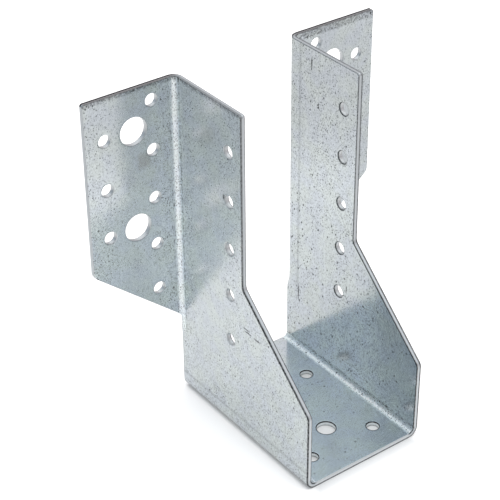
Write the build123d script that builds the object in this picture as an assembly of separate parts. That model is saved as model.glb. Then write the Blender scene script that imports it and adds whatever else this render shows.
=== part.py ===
from build123d import *
import math
import os

# A joist hanger: one blank of galvanised steel sheet, folded into a U that carries the end of a joist,
# with a nailing flange turned outwards at the back edge of each side plate.
#
# Millimetres, +Z up. The joist lies along Y and comes in from -Y, X runs across its width, and the
# flanges' back faces lie against the header at y = header_y. The origin is under the middle of the seat.
#
# Two sides of the sheet are told apart. Side A is inside the U, and becomes the back of the flanges:
# the punches entered here, so every hole has a drawn-in rim on it. Side B is the outside of the U.

# Sheet and folds. The blank's sheared edges are broken on both sides, the holes' rims on side A.
sheet_thickness = 2.0
inside_bend_radius = 2.0
edge_break = 0.25
rim_break = 0.25

# The U that holds the joist.
joist_width = 50.0
seat_depth = 80.0
overall_height = 139.0

# Side plates: a narrow strip from the top down to the knee, then a sloping front edge down to the
# shoulder, below which the plate is as deep as the seat. Depths are taken from the header.
strip_depth = 41.0
knee_height = 68.5
shoulder_height = 33.5
back_edge_setback = 1.2
plate_corner_radius = 1.0
knee_radius = 3.0

# Flanges: their reach is taken from the side plate's outer face. The lower edge slopes from the toe,
# at the free corner, down to the root, where the fold starts.
flange_reach = 38.25
toe_height = 68.0
root_height = 37.0
flange_corner_radius = 1.0
toe_radius = 3.5
relief_radius = 1.5
relief_blend_height = 6.0

# Holes. Columns in the flanges are taken from the free edge, the rest from the header or the top.
nail_diameter = 5.0
bolt_diameter = 11.0
screw_diameter = 7.5
nail_pitch = 20.0
nails_in_plate = 5
nails_in_inner_column = 5
nails_in_outer_column = 3
inner_column_from_edge = 28.0
outer_column_from_edge = 8.0
bolt_column_from_edge = 20.0
first_flange_nail_drop = 6.5
first_plate_nail_drop = 17.0
plate_nails_from_header = 33.5
seat_nail_spacing_across = 30.0
seat_nail_spacing_along = 41.0
seat_front_nails_from_front = 12.0
seat_screw_from_front = 22.0

# Places that follow from the sizes above.
header_y = seat_depth / 2
front_y = -seat_depth / 2
plate_inside = joist_width / 2
plate_outside = plate_inside + sheet_thickness
outer_bend_radius = inside_bend_radius + sheet_thickness
neutral_radius = inside_bend_radius + sheet_thickness / 2
fold_start_y = header_y - outer_bend_radius
fold_centre_x = plate_outside + inside_bend_radius
flange_edge = plate_outside + flange_reach
strip_front_y = header_y - strip_depth
back_edge_y = header_y - back_edge_setback
tail_length = outer_bend_radius - back_edge_setback
tail_angle = tail_length / neutral_radius
root_slope = (toe_height - root_height) / (flange_edge - fold_centre_x)
relief_height = root_height - root_slope * (fold_centre_x - plate_inside) - relief_radius
straight_tail_height = relief_height - relief_blend_height

# Helpers: how far a cutting shape runs past what it cuts, how near a point counts as the same place,
# and the turn in degrees under which two faces count as one smooth surface.
beyond = 10.0
same_place = 0.01
smooth_turn = 20


def corner(face, x, y):
    """The vertex of a flat outline that lies at x, y."""
    return face.vertices().sort_by_distance((x, y, 0))[0]


def channel_section():
    """The U of the seat and the two side plates, seen along the joist."""
    middle = overall_height / 2
    outside = Pos(0, middle) * Rectangle(2 * plate_outside, overall_height)
    outside = fillet([corner(outside, side * plate_outside, 0) for side in (-1, 1)], outer_bend_radius)
    inside = Pos(0, middle + sheet_thickness) * Rectangle(joist_width, overall_height)
    low = [corner(inside, side * plate_inside, sheet_thickness) for side in (-1, 1)]
    return outside - fillet(low, inside_bend_radius)


def extrude_along_joist(section, y_back, y_front):
    """A section in the X, Z plane, drawn out from y_back forward to y_front."""
    return extrude(Plane.XZ.offset(-y_back) * section, amount=y_back - y_front)


def plate_outline():
    """The side plates' outline in Y and Z, forward of the fold to the flange."""
    outline = make_face(
        Polyline(
            (fold_start_y, 0),
            (fold_start_y, overall_height),
            (strip_front_y, overall_height),
            (strip_front_y, knee_height),
            (front_y, shoulder_height),
            (front_y, 0),
            close=True,
        )
    )
    outline = fillet(corner(outline, strip_front_y, overall_height), plate_corner_radius)
    bends = [corner(outline, strip_front_y, knee_height), corner(outline, front_y, shoulder_height)]
    return fillet(bends, knee_radius)


def channel():
    """The seat and side plates, with the straight tail that runs back beside the fold."""
    body = extrude_along_joist(channel_section(), fold_start_y, front_y)
    body &= extrude(Plane.YZ * plate_outline(), amount=plate_outside + beyond, both=True)
    tail = extrude_along_joist(channel_section(), back_edge_y, fold_start_y)
    return body + split(tail, Plane.XY.offset(straight_tail_height), keep=Keep.BOTTOM)


def fold_point(radius, angle):
    """A point of the fold between side plate and flange, by its angle from the side plate."""
    return (fold_centre_x - radius * math.cos(angle), fold_start_y + radius * math.sin(angle))


def fold_section(angle):
    """The folded sheet in plan, from the side plate round the fold by an angle in radians."""
    half = angle / 2
    return make_face(
        [
            Line(fold_point(outer_bend_radius, 0), fold_point(inside_bend_radius, 0)),
            ThreePointArc(*(fold_point(inside_bend_radius, a) for a in (0, half, angle))),
            Line(fold_point(inside_bend_radius, angle), fold_point(outer_bend_radius, angle)),
            ThreePointArc(*(fold_point(outer_bend_radius, a) for a in (angle, half, 0))),
        ]
    )


def straight_tail_section():
    """The same length of sheet left flat, as it is below the relief."""
    return make_face(
        Polyline(
            (plate_inside, fold_start_y),
            (plate_outside, fold_start_y),
            (plate_outside, back_edge_y),
            (plate_inside, back_edge_y),
            close=True,
        )
    )


def flange_outline():
    """The flange and its fold in X and Z, with the sloping lower edge carried on under the fold."""
    under_fold = root_height - root_slope * (fold_centre_x - plate_inside)
    outline = make_face(
        Polyline(
            (plate_inside, overall_height),
            (flange_edge, overall_height),
            (flange_edge, toe_height),
            (plate_inside, under_fold),
            close=True,
        )
    )
    outline = fillet(corner(outline, flange_edge, overall_height), flange_corner_radius)
    return fillet(corner(outline, flange_edge, toe_height), toe_radius)


def flange():
    """The right flange with its fold, and the part of the fold that fades out below the relief."""
    flat_width = flange_edge - fold_centre_x
    flat = Pos(fold_centre_x + flat_width / 2, header_y - sheet_thickness / 2)
    plan = fold_section(math.pi / 2) + flat * Rectangle(flat_width, sheet_thickness)
    body = extrude(plan, amount=overall_height)
    body &= extrude_along_joist(flange_outline(), header_y + beyond, fold_start_y - beyond)
    bent_tail = fold_section(tail_angle)
    body += Pos(0, 0, relief_height) * extrude(bent_tail, amount=root_height - relief_height)
    notch = body.edges().filter_by(is_relief)
    body = fillet(notch, relief_radius)
    fade = loft([Pos(0, 0, straight_tail_height) * straight_tail_section(), Pos(0, 0, relief_height) * bent_tail])
    return body + fade


def is_relief(edge):
    """Whether an edge is the inside corner between the flange's lower edge and the tail's end."""
    ends = (fold_point(inside_bend_radius, tail_angle), fold_point(outer_bend_radius, tail_angle))
    return all(
        vertex.Z > relief_height + same_place
        and any(math.dist((vertex.X, vertex.Y), end) < same_place for end in ends)
        for vertex in edge.vertices()
    )


def punch(diameter, rim_distance):
    """A punched hole along Z, with side A of the sheet at z = rim_distance and its drawn-in rim there."""
    radius = diameter / 2
    rim = Pos(0, 0, rim_distance - rim_break / 2)
    cone = Cone(radius, radius + rim_break, rim_break)
    return Cylinder(radius, 2 * sheet_thickness) + rim * cone


def flange_holes():
    """Nail and bolt holes of the right flange, where side A is the back face."""
    face = Pos(0, header_y - sheet_thickness / 2, 0)
    first = overall_height - first_flange_nail_drop
    nail, bolt = (punch(size, sheet_thickness / 2) for size in (nail_diameter, bolt_diameter))
    rows = [(nail, inner_column_from_edge, first - nail_pitch * row) for row in range(nails_in_inner_column)]
    middle = [first - nail_pitch * (row + 0.5) for row in range(nails_in_outer_column)]
    rows += [(nail, outer_column_from_edge, height) for height in middle]
    rows += [(bolt, bolt_column_from_edge, height) for height in (middle[0], middle[-1])]
    return [face * Pos(flange_edge - inset, 0, height) * Rot(-90, 0, 0) * tool for tool, inset, height in rows]


def plate_holes():
    """Nail holes of the right side plate, where side A is the inner face."""
    face = Pos(plate_inside + sheet_thickness / 2, header_y - plate_nails_from_header, 0)
    first = overall_height - first_plate_nail_drop
    tool = Rot(0, -90, 0) * punch(nail_diameter, sheet_thickness / 2)
    return [face * Pos(0, 0, first - nail_pitch * row) * tool for row in range(nails_in_plate)]


def seat_holes():
    """The seat's four nail holes and its larger screw hole, where side A is the upper face."""
    face = Pos(0, front_y, sheet_thickness / 2)
    nail, screw = (punch(size, sheet_thickness / 2) for size in (nail_diameter, screw_diameter))
    front = seat_front_nails_from_front
    half = seat_nail_spacing_across / 2
    places = [(side * half, along) for side in (-1, 1) for along in (front, front + seat_nail_spacing_along)]
    return [face * Pos(x, y, 0) * nail for x, y in places] + [face * Pos(0, seat_screw_from_front, 0) * screw]


def sheared_edges(body):
    """The edges of the folded blank's outline, where two faces meet at a corner."""
    sides = {}
    for face in body.faces():
        for edge in face.edges():
            sides.setdefault(edge, []).append(face)
    return [edge for edge, faces in sides.items() if is_sharp(edge, faces)]


def is_sharp(edge, faces):
    """Whether an edge's two faces turn a corner there, and don't run on smoothly."""
    middle = edge.position_at(0.5)
    first, second = (face.normal_at(middle) for face in faces)
    return first.get_angle(second) > smooth_turn


def hanger():
    """The folded, punched sheet."""
    right = flange()
    body = channel() + right + mirror(right, Plane.YZ)
    body = chamfer(sheared_edges(body), edge_break)
    right_holes = flange_holes() + plate_holes()
    for tool in right_holes + [mirror(hole, Plane.YZ) for hole in right_holes] + seat_holes():
        body -= tool
    return body


os.makedirs("parts", exist_ok=True)
hanger_body = hanger()
hanger_body.label = "hanger_body"
export_step(hanger_body, "parts/hanger_body.step")
print("hanger_body", hanger_body.bounding_box().min, hanger_body.bounding_box().max)
print("volume", round(hanger_body.volume), "solids", len(hanger_body.solids()))
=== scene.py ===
# %% [markdown]
# # A joist hanger, folded from one sheet of galvanised steel
#
# The real object starts as a flat blank: a steel strip with a zinc coat is cut to an outline, punched
# with nail and bolt holes, and folded three ways. So this lesson makes it the same way. A flat blank is
# drawn first, its cut edges get their true rounded section, and a fold that follows one rule bends it
# into shape. The zinc's grain is then drawn on the flat blank, and so it runs round each fold unbroken.
#
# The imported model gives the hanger's place and overall size. Its object is in metres, +Z is up, the joist
# lies along Y, and the flanges' back faces lie against the header at the highest Y.

import math

import bmesh
import bpy
from mathutils import Matrix, Vector


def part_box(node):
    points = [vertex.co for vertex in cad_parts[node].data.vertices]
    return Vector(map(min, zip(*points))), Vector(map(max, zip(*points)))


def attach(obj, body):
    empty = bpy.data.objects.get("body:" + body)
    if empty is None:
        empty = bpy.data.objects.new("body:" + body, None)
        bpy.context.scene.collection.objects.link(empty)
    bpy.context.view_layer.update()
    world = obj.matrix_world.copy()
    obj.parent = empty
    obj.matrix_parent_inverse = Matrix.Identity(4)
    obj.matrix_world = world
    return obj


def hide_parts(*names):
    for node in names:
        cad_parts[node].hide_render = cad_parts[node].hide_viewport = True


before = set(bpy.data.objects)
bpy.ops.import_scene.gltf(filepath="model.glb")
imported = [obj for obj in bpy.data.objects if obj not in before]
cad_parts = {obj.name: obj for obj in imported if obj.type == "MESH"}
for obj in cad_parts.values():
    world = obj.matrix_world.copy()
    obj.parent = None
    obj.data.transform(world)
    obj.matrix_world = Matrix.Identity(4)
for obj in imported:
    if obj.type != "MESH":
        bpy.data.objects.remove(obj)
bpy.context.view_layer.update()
low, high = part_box("hanger_body")
mm = 0.001
print("packed hanger:", [round((b - a) / mm, 2) for a, b in zip(low, high)], "mm")

# %% [markdown]
# ## Helpers for node trees
#
# Geometry and shader trees are both networks of nodes with sockets. These few functions keep the later
# cells short: one makes a tree with named sockets, one adds a node, one feeds a socket from a number or
# from another socket, and one does a sum. They work alike in both kinds of tree.

# %% Node helpers
def feed(tree, socket, source):
    """Gives a socket its value: another socket's output, or a plain number, colour or name."""
    if isinstance(source, bpy.types.NodeSocket):
        tree.links.new(source, socket)
    else:
        socket.default_value = source


def add(tree, kind, settings=None, **sources):
    """Adds a node, sets its own settings, and feeds its inputs, named with _ for each space."""
    node = tree.nodes.new(kind)
    for name, value in (settings or {}).items():
        setattr(node, name, value)
    for name, source in sources.items():
        feed(tree, node.inputs[name.replace("_", " ")], source)
    return node


def calc(tree, operation, *terms):
    """One step of arithmetic on numbers, and its result."""
    node = add(tree, "ShaderNodeMath", {"operation": operation})
    for socket, term in zip(node.inputs, terms):
        feed(tree, socket, term)
    return node.outputs[0]


def new_tree(name, kind, inputs, outputs):
    """A node group with named sockets, and its input and output ends."""
    tree = bpy.data.node_groups.new(name, kind)
    for label, (socket_type, default) in inputs.items():
        socket = tree.interface.new_socket(label, in_out="INPUT", socket_type=socket_type)
        if default is not None:
            socket.default_value = default
    for label, socket_type in outputs.items():
        tree.interface.new_socket(label, in_out="OUTPUT", socket_type=socket_type)
    return tree, add(tree, "NodeGroupInput").outputs, add(tree, "NodeGroupOutput").inputs


def set_input(modifier, label, value):
    """Sets a Geometry Nodes modifier's input, which goes by the socket's identifier."""
    for item in modifier.node_group.interface.items_tree:
        if item.item_type == "SOCKET" and item.in_out == "INPUT" and item.name == label:
            modifier[item.identifier] = value


FLOAT, VECTOR, GEOMETRY = "NodeSocketFloat", "NodeSocketVector", "NodeSocketGeometry"
MATERIAL = "NodeSocketMaterial"
print("helpers ready")

# %% [markdown]
# ## The camera
#
# The photograph was taken from the front left and from above, with a long lens, so the hanger's upright
# edges are nearly parallel. The camera looks at a point inside the U from a little under 0.6 m.

# %% Camera
camera_azimuth = math.radians(-36.60)
camera_elevation = math.radians(33.11)
camera_roll = math.radians(-0.40)
camera_distance = 593.2 * mm
camera_target = Vector((-1.33, 28.63, 60.14)) * mm

back = Vector((
    math.sin(camera_azimuth) * math.cos(camera_elevation),
    -math.cos(camera_azimuth) * math.cos(camera_elevation),
    math.sin(camera_elevation),
))
right = Vector((math.cos(camera_azimuth), math.sin(camera_azimuth), 0))
level = Matrix((right, back.cross(right), back)).transposed()
camera = bpy.data.objects.new("camera", bpy.data.cameras.new("camera"))
camera.data.sensor_width = 36
camera.data.lens = 111.0
camera.data.clip_start = 0.05
camera.matrix_world = (
    Matrix.Translation(camera_target + camera_distance * back)
    @ level.to_4x4()
    @ Matrix.Rotation(camera_roll, 4, "Z")
)
bpy.context.scene.collection.objects.link(camera)
bpy.context.scene.camera = camera
print("camera at", [round(v, 3) for v in camera.location])

# %% [markdown]
# ## The size of the sheet and its folds
#
# When sheet metal is folded, one layer inside it keeps its length. With a fold this large against the
# sheet, that layer is near the middle. Its length round a quarter turn is what each fold takes up on the
# flat blank. On the blank, X runs across the U, from the middle of the seat out over a fold and up a side
# plate, and Y runs along the joist and on round the second fold into a flange.

# %% Sheet and folds
sheet = 2.0 * mm
inside_bend = 2.0 * mm
middle_bend = inside_bend + sheet / 2
fold_length = middle_bend * math.pi / 2
joist_width = 50.0 * mm

seat_fold = joist_width / 2 - inside_bend
plate_start = seat_fold + fold_length
flange_fold = high.y - sheet - inside_bend
flange_start = flange_fold + fold_length
flange_tip = flange_start + high.x - (joist_width / 2 + sheet + inside_bend)


def across(height):
    """Where a point of the side plate at this height lies across the flat blank."""
    return plate_start + height - sheet - inside_bend


print("flat blank:", round(2 * across(high.z) / mm, 1), "by", round((flange_tip - low.y) / mm, 1), "mm")

# %% [markdown]
# ## The blank's outline
#
# The outline could be traced point by point, but its corners are all rounded with one tool or another. So
# each point of the right half states only where two straight cuts meet and the radius of their corner. The
# left half mirrors it. The sharp notch where a flange meets a side plate is the relief, which lets the
# flange fold without tearing the plate below it.

# %% Outline corners
strip_front = high.y - 41.0 * mm
knee_height = 68.5 * mm
shoulder_height = 33.5 * mm
toe_height = 68.0 * mm
root_height = 37.0 * mm
tail_end = high.y - 1.2 * mm
knee_radius, tip_radius, toe_radius, relief_radius = 3.0 * mm, 1.0 * mm, 3.5 * mm, 1.5 * mm
toe_slope = (toe_height - root_height) / (flange_tip - flange_start)
notch_height = root_height - toe_slope * (flange_start - tail_end)

right_corners = [
    (across(shoulder_height), low.y, knee_radius),
    (across(knee_height), strip_front, knee_radius),
    (across(high.z), strip_front, tip_radius),
    (across(high.z), flange_tip, tip_radius),
    (across(toe_height), flange_tip, toe_radius),
    (across(notch_height), tail_end, relief_radius),
]
outline = right_corners + [(-x, y, radius) for x, y, radius in reversed(right_corners)]
print(len(outline), "corners")

# %% [markdown]
# ## The punched holes
#
# A press punches the holes in rows, on one pitch. So a row is a start, a step and a count, and the tree
# further down sets one circle on each place that these rows give.

# %% Hole places
nail, bolt, screw = 5.0 * mm, 11.0 * mm, 7.5 * mm
pitch = 20.0 * mm
inner_column, outer_column, bolt_column = (flange_tip - inset * mm for inset in (28, 8, 20))
plate_column = high.y - 33.5 * mm
flange_first, plate_first = high.z - 6.5 * mm, high.z - 17 * mm
seat_nail_x = 15 * mm
seat_nails_y = (low.y + 12 * mm, low.y + 53 * mm)
seat_screw_y = low.y + 22 * mm


def row(x, y, count, diameter):
    """Places of a row of holes that steps down the side plate or flange, from a height x."""
    return [(across(x - step * pitch), y, diameter) for step in range(count)]


right_holes = row(flange_first, inner_column, 5, nail)
right_holes += row(flange_first - pitch / 2, outer_column, 3, nail)
right_holes += row(flange_first - pitch / 2, bolt_column, 3, bolt)[::2]
right_holes += row(plate_first, plate_column, 5, nail)
right_holes += [(seat_nail_x, y, nail) for y in seat_nails_y]
holes = right_holes + [(-x, y, diameter) for x, y, diameter in right_holes]
holes += [(0, seat_screw_y, screw)]
print(len(holes), "holes")

# %% [markdown]
# ## The shape of a cut edge
#
# Shears and punches don't leave a square edge. The side that the tool enters is drawn in to a small round,
# and the far side has a much smaller one. A Bevel modifier could round both, but it can't tell the two
# sides apart. So the edge's own section, a line with two rounded corners and a narrow margin of each
# face, is swept along each cut by Curve to Mesh. The section also carries numbers for the material: how
# deep in the cut a point lies, how far out on the round, and how near the corner.

# %% Tree: the rim of a cut
rim, given, result = new_tree(
    "rim of a cut",
    "GeometryNodeTree",
    {
        "Cut": (GEOMETRY, None),
        "Thickness": (FLOAT, sheet),
        "Entry round": (FLOAT, 0.25 * mm),
        "Exit round": (FLOAT, 0.1 * mm),
        "Margin": (FLOAT, 0.65 * mm),
        "Punched": (FLOAT, 0.0),
    },
    {"Rim": GEOMETRY, "Entry side": GEOMETRY, "Exit side": GEOMETRY},
)


def by_index(tree, kind, *values):
    """A value for each point of the section, chosen by the point's index."""
    node = add(tree, "GeometryNodeIndexSwitch", {"data_type": kind})
    while len(node.index_switch_items) < len(values):
        node.index_switch_items.new()
    feed(tree, node.inputs["Index"], add(tree, "GeometryNodeInputIndex").outputs[0])
    for socket, value in zip(list(node.inputs)[1:], values):
        feed(tree, socket, value)
    return node.outputs[0]


def store(tree, geometry, name, kind, value):
    """Keeps a value on each point under a name that the material can read."""
    node = add(tree, "GeometryNodeStoreNamedAttribute", {"data_type": kind}, Geometry=geometry, Name=name)
    feed(tree, node.inputs["Value"], value)
    return node.outputs[0]


def position(tree):
    """Each point's own place, split into its three numbers."""
    place = add(tree, "GeometryNodeInputPosition").outputs[0]
    return add(tree, "ShaderNodeSeparateXYZ", Vector=place).outputs


round_steps = 3
half = calc(rim, "MULTIPLY", given["Thickness"], 0.5)
minus_half = calc(rim, "MULTIPLY", half, -1.0)
entry_reach = calc(rim, "ADD", given["Entry round"], given["Margin"])
exit_reach = calc(rim, "ADD", given["Exit round"], given["Margin"])
entry_in = calc(rim, "MULTIPLY", entry_reach, -1.0)
exit_in = calc(rim, "MULTIPLY", exit_reach, -1.0)
inward = by_index(rim, "FLOAT", entry_in, 0.0, 0.0, exit_in)
sideways = by_index(rim, "FLOAT", minus_half, minus_half, half, half)
section = add(rim, "GeometryNodeMeshLine", Count=4).outputs[0]
section = add(
    rim,
    "GeometryNodeSetPosition",
    Geometry=section,
    Position=add(rim, "ShaderNodeCombineXYZ", X=inward, Y=sideways).outputs[0],
).outputs[0]
section = add(rim, "GeometryNodeMeshToCurve", Mesh=section).outputs[0]
section = add(
    rim,
    "GeometryNodeFilletCurve",
    {"mode": "POLY"},
    Curve=section,
    Count=round_steps,
    Radius=by_index(rim, "FLOAT", 0.0, given["Entry round"], given["Exit round"], 0.0),
    Limit_Radius=True,
).outputs[0]
section_place = position(rim)
depth = calc(rim, "ADD", calc(rim, "DIVIDE", section_place["Y"], given["Thickness"]), 0.5)
shallow = calc(rim, "LESS_THAN", depth, 0.5)


def outwards(entry, exit_):
    """From 0 at this distance inside the corner to 1 at the corner, on either side of the sheet."""
    distance = add(rim, "ShaderNodeMix", {"data_type": "FLOAT"}, Factor=shallow)
    feed(rim, distance.inputs["A"], exit_)
    feed(rim, distance.inputs["B"], entry)
    share = calc(rim, "DIVIDE", section_place["X"], distance.outputs["Result"])
    return calc(rim, "MAXIMUM", calc(rim, "ADD", share, 1.0), 0.0)


section = store(rim, section, "cut_depth", "FLOAT", depth)
section = store(rim, section, "cut", "FLOAT", outwards(given["Entry round"], given["Exit round"]))
section = store(rim, section, "near_cut", "FLOAT", outwards(entry_reach, exit_reach))
section = store(rim, section, "punched", "FLOAT", given["Punched"])

cut = add(rim, "GeometryNodeSetCurveNormal", {"mode": "Z_UP"}, Curve=given["Cut"]).outputs[0]
swept = add(rim, "GeometryNodeCurveToMesh", Curve=cut, Profile_Curve=section).outputs[0]
feed(rim, result["Rim"], swept)

tangent = add(rim, "GeometryNodeInputTangent").outputs[0]
outward = add(rim, "ShaderNodeVectorMath", {"operation": "CROSS_PRODUCT"})
feed(rim, outward.inputs[0], tangent)
feed(rim, outward.inputs[1], (0, 0, 1))
for side, distance in (("Entry side", entry_in), ("Exit side", exit_in)):
    inset = add(rim, "ShaderNodeVectorMath", {"operation": "SCALE"}, Scale=distance)
    feed(rim, inset.inputs[0], outward.outputs[0])
    moved = add(rim, "GeometryNodeSetPosition", Geometry=cut, Offset=inset.outputs[0]).outputs[0]
    feed(rim, result[side], moved)
print(len(rim.nodes), "nodes in", rim.name)

# %% [markdown]
# ## The flat, punched blank
#
# The mesh that this tree starts from holds only the outline's corners, joined by edges, and one loose
# point for each hole. The tree rounds the outline, sets a circle on each loose point, sweeps a rim along
# every cut, and fills the two flat sides between them. Outline and holes have rounds of their own size, and
# those of the seat's holes are the crispest.

# %% Tree: the punched blank
blank_tree, given, result = new_tree(
    "punched blank",
    "GeometryNodeTree",
    {
        "Geometry": (GEOMETRY, None),
        "Thickness": (FLOAT, sheet),
        "Outline entry round": (FLOAT, 0.22 * mm),
        "Outline exit round": (FLOAT, 0.12 * mm),
        "Hole entry round": (FLOAT, 0.35 * mm),
        "Hole exit round": (FLOAT, 0.2 * mm),
        "Seat hole entry round": (FLOAT, 0.12 * mm),
        "Seat hole exit round": (FLOAT, 0.12 * mm),
        "Seat reach": (FLOAT, seat_fold),
        "Material": (MATERIAL, None),
    },
    {"Geometry": GEOMETRY},
)


def named(tree, name, kind="FLOAT"):
    """A value kept on the mesh under a name."""
    return add(tree, "GeometryNodeInputNamedAttribute", {"data_type": kind}, Name=name).outputs["Attribute"]


corner_steps, circle_steps = 10, 72
same_point = 0.002 * mm
is_hole = calc(blank_tree, "GREATER_THAN", named(blank_tree, "hole_diameter"), 0.0)
parts = add(blank_tree, "GeometryNodeSeparateGeometry", Geometry=given["Geometry"], Selection=is_hole).outputs
outline_curve = add(blank_tree, "GeometryNodeMeshToCurve", Mesh=parts["Inverted"]).outputs[0]
outline_curve = add(
    blank_tree,
    "GeometryNodeFilletCurve",
    {"mode": "POLY"},
    Curve=outline_curve,
    Count=corner_steps,
    Radius=named(blank_tree, "corner_radius"),
).outputs[0]
circle = add(blank_tree, "GeometryNodeCurvePrimitiveCircle", Resolution=circle_steps, Radius=0.5)
from_centre = calc(blank_tree, "ABSOLUTE", position(blank_tree)["X"])
in_seat = calc(blank_tree, "LESS_THAN", from_centre, given["Seat reach"])
spots = add(blank_tree, "GeometryNodeSeparateGeometry", Geometry=parts["Selection"], Selection=in_seat)


def circles(points):
    """A circle on each point, of that point's diameter, that runs the other way round than the outline."""
    diameter = named(blank_tree, "hole_diameter")
    placed = add(blank_tree, "GeometryNodeInstanceOnPoints", Points=points, Scale=diameter)
    feed(blank_tree, placed.inputs["Instance"], circle.outputs["Curve"])
    real = add(blank_tree, "GeometryNodeRealizeInstances", Geometry=placed.outputs[0]).outputs[0]
    return add(blank_tree, "GeometryNodeReverseCurve", Curve=real).outputs[0]


whole = add(blank_tree, "GeometryNodeJoinGeometry")
sides = {"Entry side": [], "Exit side": []}
for curve, what, punched in (
    (outline_curve, "Outline", 0.0),
    (circles(spots.outputs["Inverted"]), "Hole", 1.0),
    (circles(spots.outputs["Selection"]), "Seat hole", 1.0),
):
    group = add(blank_tree, "GeometryNodeGroup", {"node_tree": rim})
    feed(blank_tree, group.inputs["Cut"], curve)
    feed(blank_tree, group.inputs["Thickness"], given["Thickness"])
    feed(blank_tree, group.inputs["Entry round"], given[f"{what} entry round"])
    feed(blank_tree, group.inputs["Exit round"], given[f"{what} exit round"])
    feed(blank_tree, group.inputs["Punched"], punched)
    feed(blank_tree, whole.inputs[0], group.outputs["Rim"])
    for side, loops in sides.items():
        loops.append(group.outputs[side])

half = calc(blank_tree, "MULTIPLY", given["Thickness"], 0.5)
for side, height in (("Entry side", half), ("Exit side", calc(blank_tree, "MULTIPLY", half, -1.0))):
    loops = add(blank_tree, "GeometryNodeJoinGeometry")
    for curve in sides[side]:
        feed(blank_tree, loops.inputs[0], curve)
    face = add(blank_tree, "GeometryNodeFillCurve", {"mode": "NGONS"}, Curve=loops.outputs[0]).outputs[0]
    lift = add(blank_tree, "ShaderNodeCombineXYZ", Z=height).outputs[0]
    face = add(blank_tree, "GeometryNodeTransform", Geometry=face, Translation=lift).outputs[0]
    if side == "Exit side":
        face = add(blank_tree, "GeometryNodeFlipFaces", Mesh=face).outputs[0]
    feed(blank_tree, whole.inputs[0], face)
joined = add(blank_tree, "GeometryNodeMergeByDistance", Geometry=whole.outputs[0], Distance=same_point)
joined = add(blank_tree, "GeometryNodeRealizeInstances", Geometry=joined.outputs[0]).outputs[0]
joined = add(blank_tree, "GeometryNodeSetMaterial", Geometry=joined, Material=given["Material"]).outputs[0]
feed(blank_tree, result["Geometry"], joined)
print(len(blank_tree.nodes), "nodes in", blank_tree.name)

# %% Make the blank
zinc = bpy.data.materials.new("galvanised_steel")


def baked(obj, name):
    """A plain mesh object with what an object's modifiers make, in place of that object."""
    evaluated = obj.evaluated_get(bpy.context.evaluated_depsgraph_get())
    mesh = bpy.data.meshes.new_from_object(evaluated)
    bpy.data.objects.remove(obj)
    mesh.name = name
    plain = bpy.data.objects.new(name, mesh)
    bpy.context.scene.collection.objects.link(plain)
    return plain


def shaped(mesh, name, tree, **inputs):
    """A mesh run through a Geometry Nodes tree with these inputs."""
    obj = bpy.data.objects.new(name, mesh)
    bpy.context.scene.collection.objects.link(obj)
    modifier = obj.modifiers.new(tree.name, "NODES")
    modifier.node_group = tree
    for label, value in inputs.items():
        set_input(modifier, label.replace("_", " "), value)
    return baked(obj, name)


plan = bpy.data.meshes.new("plan")
corner_count = len(outline)
plan.from_pydata(
    [(x, y, 0) for x, y, _ in outline + holes],
    [(i, (i + 1) % corner_count) for i in range(corner_count)],
    [],
)
radii = plan.attributes.new("corner_radius", "FLOAT", "POINT")
radii.data.foreach_set("value", [radius for _, _, radius in outline] + [0.0] * len(holes))
diameters = plan.attributes.new("hole_diameter", "FLOAT", "POINT")
diameters.data.foreach_set("value", [0.0] * corner_count + [diameter for _, _, diameter in holes])
blank = shaped(plan, "blank", blank_tree, Material=zinc)


def open_edges(mesh):
    """How many edges don't have exactly two faces, which is none on a closed mesh."""
    probe = bmesh.new()
    probe.from_mesh(mesh)
    count = sum(len(edge.link_faces) != 2 for edge in probe.edges)
    probe.free()
    return count


print("blank:", len(blank.data.vertices), "vertices,", open_edges(blank.data), "open edges")
print("blank size:", [round(d / mm, 2) for d in blank.dimensions], "mm")

# %% [markdown]
# ## Scoring the fold lines
#
# A mesh bends only where it has edges. The flat sides are large faces so far, so planes cut them into
# narrow strips where each fold will be, as a press brake's tool would mark them. Subdividing everything
# would bend as well, but would waste faces where the sheet stays flat. Below each relief the flange's fold
# fades out into the straight tail of the side plate, and a few level cuts let it do so.

# %% Score the blank
strips = 16
fade_low = 26.1 * mm
fade_high = 32.1 * mm
fade_steps = 8
same_plane = 1e-7
crosswise, lengthwise = Vector((1, 0, 0)), Vector((0, 1, 0))

scores = [(crosswise * (seat_fold + fold_length * i / strips), crosswise) for i in range(strips + 1)]
for i in range(fade_steps + 1):
    height = fade_low + (fade_high - fade_low) * i / fade_steps
    scores.append((crosswise * across(height), crosswise))
scores += [(-place, direction) for place, direction in scores]
for i in range(strips + 1):
    scores.append((lengthwise * (flange_fold + fold_length * i / strips), lengthwise))

work = bmesh.new()
work.from_mesh(blank.data)
for place, direction in scores:
    everything = work.verts[:] + work.edges[:] + work.faces[:]
    bmesh.ops.bisect_plane(work, geom=everything, dist=same_plane, plane_co=place, plane_no=direction)
bmesh.ops.triangulate(work, faces=work.faces[:], quad_method="BEAUTY", ngon_method="BEAUTY")
work.to_mesh(blank.data)
work.free()
print(len(scores), "scores,", len(blank.data.polygons), "triangles,", open_edges(blank.data), "open edges")

# %% [markdown]
# ## One rule for every fold
#
# Armatures and lattices bend meshes too, but they stretch them. This group follows the rule of sheet
# metal instead: past the fold's line a point goes round an arc whose middle layer keeps its length, and
# past the arc it runs on straight. It takes a point's place along the sheet and its height from the middle
# layer, and gives both after the fold. An amount under one makes the same fold gentler.

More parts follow.
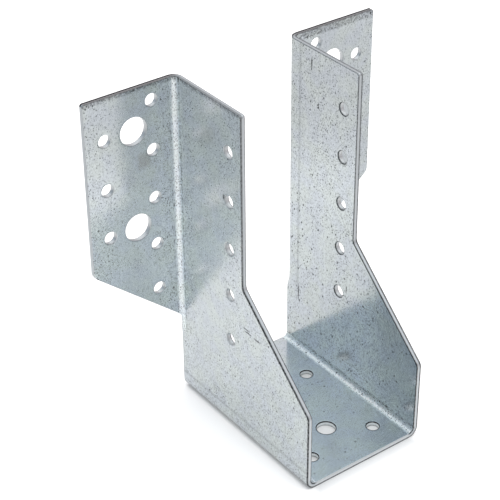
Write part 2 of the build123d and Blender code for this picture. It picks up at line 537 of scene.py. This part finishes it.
# %% Tree: fold
fold, given, result = new_tree(
    "fold",
    "GeometryNodeTree",
    {
        "Along": (FLOAT, 0.0),
        "Height": (FLOAT, 0.0),
        "Line": (FLOAT, 0.0),
        "Middle radius": (FLOAT, middle_bend),
        "Towards": (FLOAT, 1.0),
        "Amount": (FLOAT, 1.0),
    },
    {"Along": FLOAT, "Height": FLOAT},
)
least_amount = 0.01
arc_length = calc(fold, "MULTIPLY", given["Middle radius"], math.pi / 2)
past = calc(fold, "MAXIMUM", calc(fold, "SUBTRACT", given["Along"], given["Line"]), 0.0)
on_arc = calc(fold, "MINIMUM", past, arc_length)
straight = calc(fold, "SUBTRACT", past, on_arc)
before = calc(fold, "MINIMUM", given["Along"], given["Line"])
radius = calc(fold, "DIVIDE", given["Middle radius"], calc(fold, "MAXIMUM", given["Amount"], least_amount))
turn = calc(fold, "DIVIDE", on_arc, radius)
sine = calc(fold, "SINE", turn)
cosine = calc(fold, "COSINE", turn)
from_centre = calc(fold, "SUBTRACT", radius, calc(fold, "MULTIPLY", given["Height"], given["Towards"]))
along = calc(fold, "MULTIPLY_ADD", from_centre, sine, before)
feed(fold, result["Along"], calc(fold, "MULTIPLY_ADD", straight, cosine, along))
rise = calc(fold, "SUBTRACT", radius, calc(fold, "MULTIPLY", from_centre, cosine))
rise = calc(fold, "MULTIPLY_ADD", straight, sine, rise)
feed(fold, result["Height"], calc(fold, "MULTIPLY", rise, given["Towards"]))
print(len(fold.nodes), "nodes in", fold.name)

# %% [markdown]
# ## Folding the hanger
#
# The tree first keeps every point's place on the flat blank, for the grain. Then it folds the flanges
# away from the inside of the U, each about its own line, and last it folds the two side plates up from the
# seat. Left and right mirror each other, so a fold works on the distance from the middle of the seat.

# %% Tree: fold the hanger
hanger_tree, given, result = new_tree(
    "fold the hanger",
    "GeometryNodeTree",
    {
        "Geometry": (GEOMETRY, None),
        "Thickness": (FLOAT, sheet),
        "Middle radius": (FLOAT, middle_bend),
        "Seat fold": (FLOAT, seat_fold),
        "Flange fold": (FLOAT, flange_fold),
        "Fade low": (FLOAT, across(fade_low)),
        "Fade high": (FLOAT, across(fade_high)),
        "Material": (MATERIAL, None),
    },
    {"Geometry": GEOMETRY},
)


def folded(tree, along, height, line, towards, amount):
    """Places one fold in a tree, and gives the new place along the sheet and height."""
    group = add(tree, "GeometryNodeGroup", {"node_tree": fold}, Along=along, Height=height, Line=line)
    feed(tree, group.inputs["Middle radius"], given["Middle radius"])
    feed(tree, group.inputs["Towards"], towards)
    feed(tree, group.inputs["Amount"], amount)
    return group.outputs["Along"], group.outputs["Height"]


place = add(hanger_tree, "GeometryNodeInputPosition").outputs[0]
sheet_mesh = store(hanger_tree, given["Geometry"], "flat_place", "FLOAT_VECTOR", place)
axes = add(hanger_tree, "ShaderNodeSeparateXYZ", Vector=place).outputs
side = calc(hanger_tree, "SIGN", axes["X"])
out = calc(hanger_tree, "ABSOLUTE", axes["X"])
fade = add(hanger_tree, "ShaderNodeMapRange", {"interpolation_type": "SMOOTHSTEP"}, Value=out)
feed(hanger_tree, fade.inputs["From Min"], given["Fade low"])
feed(hanger_tree, fade.inputs["From Max"], given["Fade high"])
depth, height = folded(hanger_tree, axes["Y"], axes["Z"], given["Flange fold"], -1.0, fade.outputs["Result"])
out, height = folded(hanger_tree, out, height, given["Seat fold"], 1.0, 1.0)
new_place = add(hanger_tree, "ShaderNodeCombineXYZ", Y=depth).outputs[0]
feed(hanger_tree, new_place.node.inputs["X"], calc(hanger_tree, "MULTIPLY", out, side))
lift = calc(hanger_tree, "MULTIPLY", given["Thickness"], 0.5)
feed(hanger_tree, new_place.node.inputs["Z"], calc(hanger_tree, "ADD", height, lift))
sheet_mesh = add(hanger_tree, "GeometryNodeSetPosition", Geometry=sheet_mesh, Position=new_place).outputs[0]
sheet_mesh = add(hanger_tree, "GeometryNodeSetShadeSmooth", Geometry=sheet_mesh, Shade_Smooth=True).outputs[0]
sheet_mesh = add(hanger_tree, "GeometryNodeRealizeInstances", Geometry=sheet_mesh).outputs[0]
sheet_mesh = add(hanger_tree, "GeometryNodeSetMaterial", Geometry=sheet_mesh, Material=given["Material"])
feed(hanger_tree, result["Geometry"], sheet_mesh.outputs[0])
print(len(hanger_tree.nodes), "nodes in", hanger_tree.name)

# %% Fold the hanger
flat_mesh = blank.data
bpy.data.objects.remove(blank)
hanger = shaped(flat_mesh, "folded_sheet", hanger_tree, Material=zinc)
weighted = hanger.modifiers.new("flat sides stay flat", "WEIGHTED_NORMAL")
weighted.mode = "FACE_AREA"
hanger = baked(hanger, "folded_sheet")
print("hanger:", [round(d / mm, 2) for d in hanger.dimensions], "mm,", open_edges(hanger.data), "open edges")

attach(hanger, "root")
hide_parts("hanger_body")

# %% [markdown]
# ## The zinc's skin
#
# Hot-dipped zinc on sheet is not a flat grey. It has a fine grain, dark pits where the coat is thin or
# dirt has settled, faint streaks along the rolling direction, and large soft clouds. All of these are
# noise of different sizes. They read the place on the flat blank, in millimetres, so each size below can be
# compared with the real thing. The group is kept apart from the shader, and gives only shades.

# %% Shader group: zinc skin
skin, given, result = new_tree(
    "zinc skin",
    "ShaderNodeTree",
    {
        "Place": (VECTOR, None),
        "Grain": (FLOAT, 0.3),
        "Specks": (FLOAT, 0.88),
        "Pits": (FLOAT, 0.9),
        "Clouds": (FLOAT, 0.07),
        "Streaks": (FLOAT, 0.06),
    },
    {"Shade": FLOAT, "Tint": FLOAT, "Dull": FLOAT, "Height": FLOAT},
)


def scaled(tree, vector, x, y, z):
    """A vector stretched along each axis by its own number."""
    node = add(tree, "ShaderNodeVectorMath", {"operation": "MULTIPLY"})
    feed(tree, node.inputs[0], vector)
    feed(tree, node.inputs[1], (x, y, z))
    return node.outputs[0]


def noise(tree, vector, scale, detail):
    """Noise from -1 to 1 whose features are about 1 / scale long."""
    value = add(tree, "ShaderNodeTexNoise", Vector=vector, Scale=scale, Detail=detail).outputs[0]
    return calc(tree, "MULTIPLY_ADD", value, 2.0, -1.0)


def ramp(tree, value, low, high):
    """0 below low, 1 above high, and smooth between."""
    node = add(tree, "ShaderNodeMapRange", {"interpolation_type": "SMOOTHSTEP"}, Value=value)
    feed(tree, node.inputs["From Min"], low)
    feed(tree, node.inputs["From Max"], high)
    return node.outputs["Result"]


def inverse(tree, value):
    """One less the value."""
    return calc(tree, "SUBTRACT", 1.0, value)


def specks(tree, vector, scale, radius, share):
    """Round specks, one in a share of the cells: 1 in a speck's middle and 0 past its radius."""
    weakest = 0.3
    cells = add(tree, "ShaderNodeTexVoronoi", Vector=vector, Scale=scale).outputs
    spot = inverse(tree, ramp(tree, cells["Distance"], low=radius * scale / 2, high=radius * scale))
    chance = add(tree, "ShaderNodeSeparateColor", Color=cells["Color"]).outputs
    there = calc(tree, "LESS_THAN", chance[0], share)
    strength = calc(tree, "MULTIPLY_ADD", chance[1], 1 - weakest, weakest)
    return calc(tree, "MULTIPLY", calc(tree, "MULTIPLY", spot, there), strength)


print("zinc skin takes:", [socket.name for socket in given if socket.name])

# %% [markdown]
# ### What the skin shows
#
# The specks crowd together in some places and thin out in others, so one slow noise steers them all. The
# shade starts from 1, which is clean zinc. The grain, clouds and streaks move it a little up and down, and
# each speck or pit takes a share of it away, but never all of it.

# %% Shader group: grain, specks and clouds
sparsest, darkest, grain_share = 0.55, 0.05, 0.3
rolled = scaled(skin, given["Place"], x=0.7, y=1.0, z=1.0)
grain = noise(skin, rolled, scale=1.7, detail=2.0)
crowd = ramp(skin, noise(skin, given["Place"], scale=0.09, detail=1.0), low=-0.5, high=0.35)
crowd = calc(skin, "MULTIPLY_ADD", crowd, 1 - sparsest, sparsest)
small = specks(skin, rolled, scale=1.25, radius=0.29, share=0.6)
smallest = specks(skin, rolled, scale=2.0, radius=0.21, share=0.5)
fine = calc(skin, "MULTIPLY", calc(skin, "MAXIMUM", small, smallest), crowd)
pits = calc(skin, "MULTIPLY", specks(skin, rolled, scale=0.42, radius=0.41, share=0.75), crowd)
cloud = noise(skin, given["Place"], scale=0.05, detail=2.0)
streak = noise(skin, scaled(skin, given["Place"], x=0.03, y=0.7, z=1.0), scale=1.0, detail=2.0)

shade = 1.0
for pattern, label in ((grain, "Grain"), (cloud, "Clouds"), (streak, "Streaks")):
    shade = calc(skin, "MULTIPLY_ADD", pattern, given[label], shade)
for spots, label in ((fine, "Specks"), (pits, "Pits")):
    shade = calc(skin, "MULTIPLY", shade, inverse(skin, calc(skin, "MULTIPLY", spots, given[label])))
spot = calc(skin, "MAXIMUM", fine, pits)
tint = ramp(skin, noise(skin, given["Place"], scale=0.12, detail=2.0), low=-0.3, high=0.3)
feed(skin, result["Shade"], calc(skin, "MAXIMUM", shade, darkest))
feed(skin, result["Tint"], tint)
feed(skin, result["Dull"], calc(skin, "MULTIPLY_ADD", grain, grain_share, spot))
hollow = calc(skin, "MULTIPLY", spot, -1.0)
feed(skin, result["Height"], calc(skin, "MULTIPLY_ADD", grain, grain_share, hollow))
print(len(skin.nodes), "nodes in", skin.name)

# %% [markdown]
# ## Masks on the blank
#
# The material needs to know where on the hanger it is: on the seat, on a flange, in a fold, or at the top
# edge. Painting would need a texture. The flat blank gives every such place as plain sums on two
# distances, in millimetres, and its third axis tells the sheet's two sides apart. The inner side is inside
# the U and at the back of the flanges.

# %% Helpers for masks
zinc.use_nodes = True
nodes = zinc.node_tree
shader = nodes.nodes["Principled BSDF"]


def kept(name):
    """A value that the mesh carries on its points."""
    return add(nodes, "ShaderNodeAttribute", {"attribute_name": name, "attribute_type": "GEOMETRY"}).outputs


def times(*values):
    """The product of values in the material."""
    product = values[0]
    for value in values[1:]:
        product = calc(nodes, "MULTIPLY", product, value)
    return product


def strongest(masks):
    """The highest of several masks at each point."""
    highest = masks[0]
    for mask in masks[1:]:
        highest = calc(nodes, "MAXIMUM", highest, mask)
    return highest


def darker(value, mask, amount):
    """A shade made darker by an amount where the mask is 1, or lighter where the amount is below 0."""
    return times(value, calc(nodes, "MULTIPLY_ADD", mask, -amount, 1.0))


def raised(value, mask, amount):
    """A value made higher by an amount where the mask is 1."""
    return calc(nodes, "MULTIPLY_ADD", mask, amount, value)


def away(value, centre):
    """How far a value is from a centre."""
    return calc(nodes, "ABSOLUTE", calc(nodes, "SUBTRACT", value, centre))


def band(distance, half_width):
    """1 within about a half width, and 0 outside it."""
    return inverse(nodes, ramp(nodes, distance, low=half_width * 0.4, high=half_width))


print("mask helpers ready for", zinc.name)

# %% Masks: places on the blank
seat_end, seat_blur = seat_fold / mm, 1.0
knee, knee_blur = across(knee_height) / mm, 6.0
tip = flange_tip / mm
flange_fold_middle = (flange_fold + fold_length / 2) / mm
seat_fold_middle = (seat_fold + fold_length / 2) / mm

in_mm = scaled(nodes, kept("flat_place")["Vector"], x=1 / mm, y=1 / mm, z=1 / mm)
flat_axes = add(nodes, "ShaderNodeSeparateXYZ", Vector=in_mm).outputs
from_middle = calc(nodes, "ABSOLUTE", flat_axes["X"])
inner_side = ramp(nodes, flat_axes["Z"], low=-0.2, high=0.2)
outer_side = inverse(nodes, inner_side)
on_right = ramp(nodes, flat_axes["X"], low=-0.1, high=0.1)
on_seat = inverse(nodes, ramp(nodes, from_middle, low=seat_end - seat_blur, high=seat_end + seat_blur))
on_flange = ramp(nodes, flat_axes["Y"], low=flange_fold / mm, high=flange_start / mm)
off_flange = inverse(nodes, on_flange)
above_knee = ramp(nodes, from_middle, low=knee, high=knee + knee_blur)
inside_low = times(inverse(nodes, above_knee), inner_side, off_flange)
above_relief = ramp(nodes, from_middle, low=across(fade_low) / mm, high=across(fade_high) / mm)
outer_above = times(outer_side, above_relief)
# Painted light: the outer part of the left flange is made a little lighter, for the reflection it shows.
left_tip_painted_light = ramp(nodes, flat_axes["Y"], low=tip - 16.0, high=tip - 6.0)
left_tip_painted_light = times(left_tip_painted_light, outer_side, inverse(nodes, on_right))
from_top = calc(nodes, "SUBTRACT", across(high.z) / mm, from_middle)
at_top = inverse(nodes, ramp(nodes, from_top, low=0.1, high=0.25))
near_top = inverse(nodes, ramp(nodes, from_top, low=0.8, high=1.2))
from_flange_fold = away(flat_axes["Y"], flange_fold_middle)
from_seat_fold = away(from_middle, seat_fold_middle)
print("folds lie at", round(flange_fold_middle, 1), "mm along and", round(seat_fold_middle, 1), "mm across")

# %% [markdown]
# ## Marks of the press
#
# A press brake pushes the sheet into a groove. The groove's two shoulders leave a faint line on the
# outside of each fold, a little over 6 mm from its middle, and the zinc crazes on the inside, where it is
# squeezed. The inside of each fold is also painted lighter, as a painted highlight. Where a fold ends, a
# broken dark line is painted shade in the crease. The outside of each seat fold, where it stands on the
# floor, is painted darker as a painted reflection of the floor's shade. The zinc is busier with specks close
# to the flanges' folds, and calmer a little further out. Near those folds the flange is also painted a little
# lighter and the side plate a little darker, in place of their reflections.

# %% Masks: marks of the press
shoulder_reach, shoulder_width = 6.4, 0.9
flange_shoulder = band(away(from_flange_fold, shoulder_reach), shoulder_width)
flange_shoulder = times(flange_shoulder, inner_side, above_relief)
seat_shoulder = band(away(from_seat_fold, shoulder_reach), shoulder_width)
shoulder_line = strongest([flange_shoulder, times(seat_shoulder, outer_side)])
# Inside of the flanges' folds: crazed zinc, which is also painted lighter further down as a painted sheen.
crazed_and_painted_sheen = times(inverse(nodes, ramp(nodes, from_flange_fold, low=2.2, high=3.0)), outer_above)
# Inside of the seat folds: crazed zinc, which is also painted lighter further down as a painted highlight.
in_seat_fold = times(inverse(nodes, ramp(nodes, from_seat_fold, low=1.8, high=3.4)), inner_side)
matte = strongest([crazed_and_painted_sheen, in_seat_fold])
# Near the flanges' folds: busier specks. The shade loop also uses this mask to paint the flange a little
# lighter and the side plate a little darker, in place of reflections.
busy_and_painted_light = times(inverse(nodes, ramp(nodes, from_flange_fold, low=7.0, high=12.0)), outer_above)
calm = times(band(away(from_flange_fold, centre=20.0), half_width=14.0), outer_above)
# Painted shade: the outside of each seat fold, where it meets the floor, is darkened for the floor's shade
# that it reflects.
painted_contact_shade = times(band(away(from_middle, seat_fold_middle + 0.2), half_width=2.0), outer_side)

# Painted shade: a broken dark line in the crease where each fold ends.
above_fold = times(band(away(from_middle, plate_start / mm + 0.3), half_width=1.1), inner_side)
beside_fold = times(band(away(flat_axes["Y"], flange_fold / mm - 0.2), half_width=0.8), outer_above)
broken = ramp(nodes, noise(nodes, in_mm, scale=1.3, detail=2.0), low=-0.3, high=0.3)
painted_fold_shade = times(strongest([above_fold, beside_fold]), broken)
print("shoulder lines", shoulder_reach, "mm from the folds")

# %% [markdown]
# ## Marks of handling
#
# The hanger has been stacked and handled. It has a few dark scratches, one brown smudge on the left
# flange, light scuffs on the seat, and grime under its top edges. Each mark is a small soft patch at its own
# place on the blank, with a slow noise that sways its outline. The grime is broken up by a finer noise.

# %% Masks: marks of handling
sway = 0.3
swaying = raised(flat_axes["Y"], noise(nodes, in_mm, scale=0.5, detail=1.0), sway)


def mark(x, y, half_length, half_width, side):
    """A patch round x, y of the blank, on one side of the sheet, with its length along X."""
    return times(band(away(flat_axes["X"], x), half_length), band(away(swaying, y), half_width), side)


scratch_places = [
    (156.7, 25.3, 3.2, 0.45, inner_side),
    (51.5, 31.3, 4.5, 0.5, inner_side),
    (-126.4, 9.3, 1.3, 0.9, outer_side),
    (-162.0, 56.5, 0.3, 1.2, outer_side),
    (141.0, 21.0, 1.6, 0.4, inner_side),
    (-75.8, -3.5, 0.4, 2.6, outer_side),
    (-74.7, -4.5, 0.4, 2.6, outer_side),
    (-74.4, -10.0, 0.5, 2.0, outer_side),
    (69.1, 1.8, 2.0, 0.4, inner_side),
    (15.7, 2.3, 0.5, 0.5, inner_side),
]
scuff_places = [
    (20.2, -23.7, 0.5, 0.5, inner_side),
    (18.7, -33.9, 0.6, 0.4, inner_side),
    (15.4, -33.3, 0.6, 0.4, inner_side),
]
scratches = strongest([mark(*place) for place in scratch_places])
scratches = times(scratches, ramp(nodes, noise(nodes, in_mm, scale=2.0, detail=1.0), low=-0.6, high=0.1))
scuffs = strongest([mark(*place) for place in scuff_places])
smudge = mark(-133.3, 53.1, 4.5, 3.5, outer_side)

grime_reach = raised(0.7, times(on_right, on_flange), 1.5)
grime = inverse(nodes, ramp(nodes, calc(nodes, "SUBTRACT", from_top, grime_reach), low=0.0, high=1.3))
patchy = ramp(nodes, noise(nodes, in_mm, scale=1.1, detail=2.0), low=-0.4, high=0.25)
grime = times(grime, outer_side, patchy)
print(len(scratch_places), "scratches,", len(scuff_places), "scuffs")

# %% [markdown]
# ## The cut edges
#
# The cut edges have no zinc. Next to the side that the shear entered, the cut is smooth and light. Next to
# the far side the steel broke off, rough and dark, and dark lines also show where the zinc ends. These lines
# are partly painted shade: along the rounds of the edges they are also painted dark reflections, and round
# the holes, darkest in the seat, they are a painted shadow on the holes' walls. Punches rub their holes
# smoother still. These masks read the numbers that the section carried along each cut. The dark lines are
# fainter on some edges than on others, and the last loop says by how much.

# %% Masks: cut edges
punched = kept("punched")["Fac"]
cut_depth = kept("cut_depth")["Fac"]
near_cut = kept("near_cut")["Fac"]
bare = ramp(nodes, kept("cut")["Fac"], low=0.5, high=0.9)
unpunched = inverse(nodes, punched)
flange_top = times(near_top, on_flange)
wall_top = times(off_flange, near_top, unpunched)

deep_end = raised(cut_depth, wall_top, 0.15)
break_zone = times(ramp(nodes, deep_end, low=0.6, high=0.82), ramp(nodes, near_cut, low=0.2, high=0.85))
shallow_end = raised(cut_depth, flange_top, -0.28)
# Painted shade: punched holes get a wider dark entry rim, darkest on the seat, which paints the shade on the
# holes' walls.
near_round = raised(near_cut, punched, 0.12)
entry_line_and_painted_shade = inverse(nodes, ramp(nodes, shallow_end, low=0.1, high=0.28))
entry_line_and_painted_shade = times(entry_line_and_painted_shade, ramp(nodes, near_round, low=0.66, high=0.8))
entry_line_and_painted_shade = darker(entry_line_and_painted_shade, times(on_seat, unpunched), 0.8)

steady = raised(0.87, strongest([times(punched, on_seat), flange_top]), 0.25)
ragged = raised(steady, noise(nodes, in_mm, scale=1.1, detail=2.0), 0.6)
line = times(strongest([break_zone, entry_line_and_painted_shade]), ragged)
for mask, amount in (
    (times(on_flange, inverse(nodes, near_top), unpunched), 0.9),
    (wall_top, 0.35),
    (times(flange_top, outer_side), 0.65),
    (times(above_knee, off_flange, unpunched), 0.22),
    (times(punched, outer_side, darker(1.0, on_seat, 0.3)), 0.85),
    (times(punched, inner_side, inverse(nodes, on_seat)), 0.12),
):
    line = darker(line, mask, amount)
line = calc(nodes, "MINIMUM", line, 1.0)
# A darker grey on the bare top cuts of the flanges.
on_dark_top_cut = times(bare, at_top, on_flange, unpunched)
print(len(nodes.nodes), "nodes so far in", zinc.name)

# %% [markdown]
# ## The galvanised steel
#
# Zinc is a metal, so its colour comes from what it reflects, and its surface stays fairly glossy. A plain
# grey plastic would look flat here, because most of what the eye sees on this hanger are the hanger's own
# reflections. The base colour below therefore stays light, and the masks only darken or dull it. First the
# skin is placed, with more or less of its grain, specks and pits from place to place.

# %% Material: the skin in place
skin_node = add(nodes, "ShaderNodeGroup", {"node_tree": skin}, Place=in_mm)
uneven = 1.0
for mask, amount in ((calm, -0.4), (busy_and_painted_light, 0.12), (inner_side, 0.1), (grime, 0.4)):
    uneven = raised(uneven, mask, amount)
for label, on_the_seat, low_inside, in_the_fold in (
    ("Specks", 0.3, 1.1, 1.2),
    ("Pits", 0.24, 3.2, 0.9),
    ("Grain", 0.42, 0.7, 1.4),
):
    amount = times(uneven, skin_node.inputs[label].default_value)
    for mask, share in ((on_seat, on_the_seat), (inside_low, low_inside), (matte, in_the_fold)):
        amount = darker(amount, mask, 1 - share)
    feed(nodes, skin_node.inputs[label], amount)
skin_here = skin_node.outputs
print("skin placed, with", len(skin_here), "outputs")

# %% [markdown]
# ### Colours, gloss and relief
#
# Two zinc colours drift into each other in the skin's slow tint. Below 0, an amount in the first loop makes
# its place lighter, and several of its masks paint light and shade into the colour. Bare steel, a darker grey
# on the flanges' top cuts and the dark lines then lie over the zinc as they do on the real edges, and the
# dark lines are partly painted shade. The second loop gives the roughness, from clean zinc up.

# %% Material: galvanised steel
blue_zinc = (0.612, 0.665, 0.707, 1.0)
green_zinc = (0.634, 0.691, 0.691, 1.0)
sheared = (0.63, 0.67, 0.69, 1.0)
rubbed = (0.74, 0.77, 0.78, 1.0)
dark_top_cut_grey = (0.38, 0.38, 0.385, 1.0)
dirt = (0.36, 0.34, 0.27, 1.0)
# Near-black for the dark edge lines, which are partly painted shade and painted dark reflection.
edge_dark_and_painted_shade = (0.012, 0.012, 0.014, 1.0)
clean_zinc_roughness = 0.175
dirt_strength = 0.4


def blend(tree, amount, under, over):
    """One colour laid over another by an amount."""
    node = add(tree, "ShaderNodeMix", {"data_type": "RGBA"}, Factor=amount)
    for label, source in (("A", under), ("B", over)):
        socket = next(s for s in node.inputs if s.name == label and s.type == "RGBA")
        feed(tree, socket, source)
    return next(s for s in node.outputs if s.type == "RGBA")


shade = skin_here["Shade"]
# Painted light and shade in this loop: the seat folds' outsides and the creases where folds end are painted
# darker, and so is the side plate near the flanges' folds. The insides of the folds, the flange near its
# fold, the left flange's tip and the seat are painted lighter, in place of highlights and reflections. The
# shoulder lines, scuffs, scratches and grime are marks on the zinc.
for mask, amount in (
    (shoulder_line, 0.16),
    (painted_contact_shade, 0.4),
    (crazed_and_painted_sheen, -0.28),
    (times(busy_and_painted_light, on_flange), -0.05),
    (times(busy_and_painted_light, off_flange), 0.03),
    (left_tip_painted_light, -0.04),
    (on_seat, -0.03),
    (in_seat_fold, -0.45),
    (scuffs, -0.3),
    (scratches, 0.85),
    (grime, 0.5),
    (painted_fold_shade, 0.5),
):
    shade = darker(shade, mask, amount)
coat = add(nodes, "ShaderNodeVectorMath", {"operation": "SCALE"}, Scale=shade)
clean = blend(nodes, skin_here["Tint"], blue_zinc, green_zinc)
feed(nodes, coat.inputs[0], blend(nodes, times(smudge, dirt_strength), clean, dirt))
steel = blend(nodes, on_dark_top_cut, blend(nodes, punched, sheared, rubbed), dark_top_cut_grey)
colour = blend(nodes, bare, coat.outputs[0], steel)
feed(nodes, shader.inputs["Base Color"], blend(nodes, line, colour, edge_dark_and_painted_shade))
shader.inputs["Metallic"].default_value = 1.0

rough = clean_zinc_roughness
for mask, amount in (
    (skin_here["Dull"], 0.1),
    (crazed_and_painted_sheen, 0.15),
    (times(outer_above, off_flange), 0.07),
    (in_seat_fold, 0.36),
    (bare, 0.3),
):
    rough = raised(rough, mask, amount)
feed(nodes, shader.inputs["Roughness"], rough)
bump = add(nodes, "ShaderNodeBump", Height=skin_here["Height"], Strength=0.3, Distance=0.03 * mm)
feed(nodes, shader.inputs["Normal"], bump.outputs[0])
print(len(nodes.nodes), "nodes in", zinc.name)

# %% [markdown]
# ## The floor
#
# The hanger stands on a plain white floor. A product photograph is exposed so that its paper comes out pure
# white, while the metal that mirrors this paper shows it as a light grey. One white can't give both, so
# Light Path tells them apart: the floor is whiter for the camera than for the reflections. What the metal
# sees is also darker far from the hanger, where the light falls off, and under the seat. For the camera a
# soft shade is drawn under the seat that ends a few millimetres in front of it, because in so much light
# the real shade would hardly show.

# %% Floor
floor_half = 4.0
floor_drop = 0.02 * mm
floor_mesh = bpy.data.meshes.new("floor")
floor_corners = [(-1, -1), (1, -1), (1, 1), (-1, 1)]
floor_points = [(x * floor_half, y * floor_half, -floor_drop) for x, y in floor_corners]
floor_mesh.from_pydata(floor_points, [], [(0, 1, 2, 3)])
floor = bpy.data.objects.new("floor", floor_mesh)
bpy.context.scene.collection.objects.link(floor)
print("floor:", 2 * floor_half, "m wide")

# %% Material: white floor
near_floor, far_floor = (0.65, 0.635, 0.625, 1.0), (0.46, 0.448, 0.442, 1.0)
under_seat_shade = (0.54, 0.57, 0.58, 1.0)
open_paper, shaded_paper = (1.0, 0.985, 0.97, 1.0), (0.60, 0.61, 0.61, 1.0)
glow_for_metal, glow_for_camera = (0.24, 0.234, 0.23, 1.0), (0.10, 0.10, 0.10, 1.0)
brightest = (-20 * mm, 20 * mm, 0)
bright_reach, dim_reach = 120 * mm, 185 * mm
seat_inset = 4 * mm
front_shade, side_shade_start, side_shade_end = 9 * mm, -4 * mm, 3 * mm

paper = bpy.data.materials.new("white_floor")
paper.use_nodes = True
floor_nodes = paper.node_tree
floor_place = add(floor_nodes, "ShaderNodeTexCoord").outputs["Object"]
floor_axes = add(floor_nodes, "ShaderNodeSeparateXYZ", Vector=floor_place).outputs
from_brightest = add(floor_nodes, "ShaderNodeVectorMath", {"operation": "DISTANCE"})
feed(floor_nodes, from_brightest.inputs[0], floor_place)
feed(floor_nodes, from_brightest.inputs[1], brightest)
falloff = ramp(floor_nodes, from_brightest.outputs["Value"], bright_reach, dim_reach)
seen_by_metal = blend(floor_nodes, falloff, near_floor, far_floor)

# Painted shade: in the reflections, the floor under the seat is darker.
from_seat_middle = calc(floor_nodes, "ABSOLUTE", floor_axes["X"])
past_side = calc(floor_nodes, "SUBTRACT", from_seat_middle, joist_width / 2)
past_end = calc(floor_nodes, "SUBTRACT", calc(floor_nodes, "ABSOLUTE", floor_axes["Y"]), high.y - seat_inset)
is_under = calc(floor_nodes, "LESS_THAN", calc(floor_nodes, "MAXIMUM", past_side, past_end), 0.0)
seen_by_metal = blend(floor_nodes, is_under, seen_by_metal, under_seat_shade)

in_front = ramp(floor_nodes, calc(floor_nodes, "SUBTRACT", low.y, floor_axes["Y"]), 0.0, front_shade)
beside = ramp(floor_nodes, past_side, side_shade_start, side_shade_end)
shaded = inverse(floor_nodes, calc(floor_nodes, "MAXIMUM", in_front, beside))
shaded = calc(floor_nodes, "MULTIPLY", shaded, calc(floor_nodes, "LESS_THAN", floor_axes["Y"], high.y))
paper_white = blend(floor_nodes, shaded, open_paper, shaded_paper)

seen_by_camera = add(floor_nodes, "ShaderNodeLightPath").outputs["Is Camera Ray"]
floor_shader = floor_nodes.nodes["Principled BSDF"]
white = blend(floor_nodes, seen_by_camera, seen_by_metal, paper_white)
feed(floor_nodes, floor_shader.inputs["Base Color"], white)
glow = blend(floor_nodes, seen_by_camera, glow_for_metal, glow_for_camera)
feed(floor_nodes, floor_shader.inputs["Emission Color"], glow)
floor_shader.inputs["Emission Strength"].default_value = 1.0
floor_shader.inputs["Roughness"].default_value = 0.9
floor_shader.inputs["Specular IOR Level"].default_value = 0.0
floor_mesh.materials.append(paper)
print(len(floor_nodes.nodes), "nodes in", paper.name)

# %% [markdown]
# ## The room and its lights
#
# A metal shows its surroundings, so the room is made for the reflections. Soft white light comes from a
# wide ceiling. The walls are darker, cool on the left and warmer on the right, and give the folds and
# edges their dark bands. In mirrors the ceiling is dimmer straight overhead, or the seat would be blown
# out when it is seen from above. The camera sees plain white all round. Two softboxes add some direction,
# and are hidden from the reflections, where they would show as bright squares.

# %% Room
left_wall, right_wall = (0.22, 0.28, 0.34, 1.0), (0.50, 0.45, 0.46, 1.0)
ceiling, overhead = (1.40, 1.42, 1.45, 1.0), (0.80, 0.81, 0.83, 1.0)
plain_white = (1.0, 1.0, 1.0, 1.0)
world = bpy.data.worlds.new("white room")
bpy.context.scene.world = world
world.use_nodes = True
room = world.node_tree
facing = add(room, "ShaderNodeTexCoord").outputs["Generated"]
directions = add(room, "ShaderNodeSeparateXYZ", Vector=facing).outputs
ray = add(room, "ShaderNodeLightPath").outputs
walls = blend(room, ramp(room, directions["X"], low=-0.5, high=0.5), left_wall, right_wall)
surroundings = blend(room, ramp(room, directions["Z"], low=0.39, high=0.84), walls, ceiling)
is_overhead = ramp(room, directions["Z"], low=0.84, high=0.95)
mirrored_overhead = calc(room, "MULTIPLY", is_overhead, ray["Is Glossy Ray"])
surroundings = blend(room, mirrored_overhead, surroundings, overhead)
surroundings = blend(room, ray["Is Camera Ray"], surroundings, plain_white)
feed(room, room.nodes["Background"].inputs["Color"], surroundings)
room.nodes["Background"].inputs["Strength"].default_value = 1.0
bpy.context.scene.view_settings.view_transform = "Standard"
print(len(room.nodes), "nodes in", world.name)

# %% Softboxes
def softbox(name, place, size, power):
    """A square light that looks at the hanger's middle."""
    light = bpy.data.objects.new(name, bpy.data.lights.new(name, "AREA"))
    light.data.size = size
    light.data.energy = power
    light.location = Vector(place)
    light.visible_glossy = False
    light.rotation_euler = (camera_target - light.location).to_track_quat("-Z", "Y").to_euler()
    bpy.context.scene.collection.objects.link(light)
    print(name, "of", power, "W")


softbox("softbox above", place=(-0.1, -0.2, 1.2), size=0.9, power=6.0)
softbox("softbox at front right", place=(0.6, -0.6, 0.85), size=0.3, power=0.5)
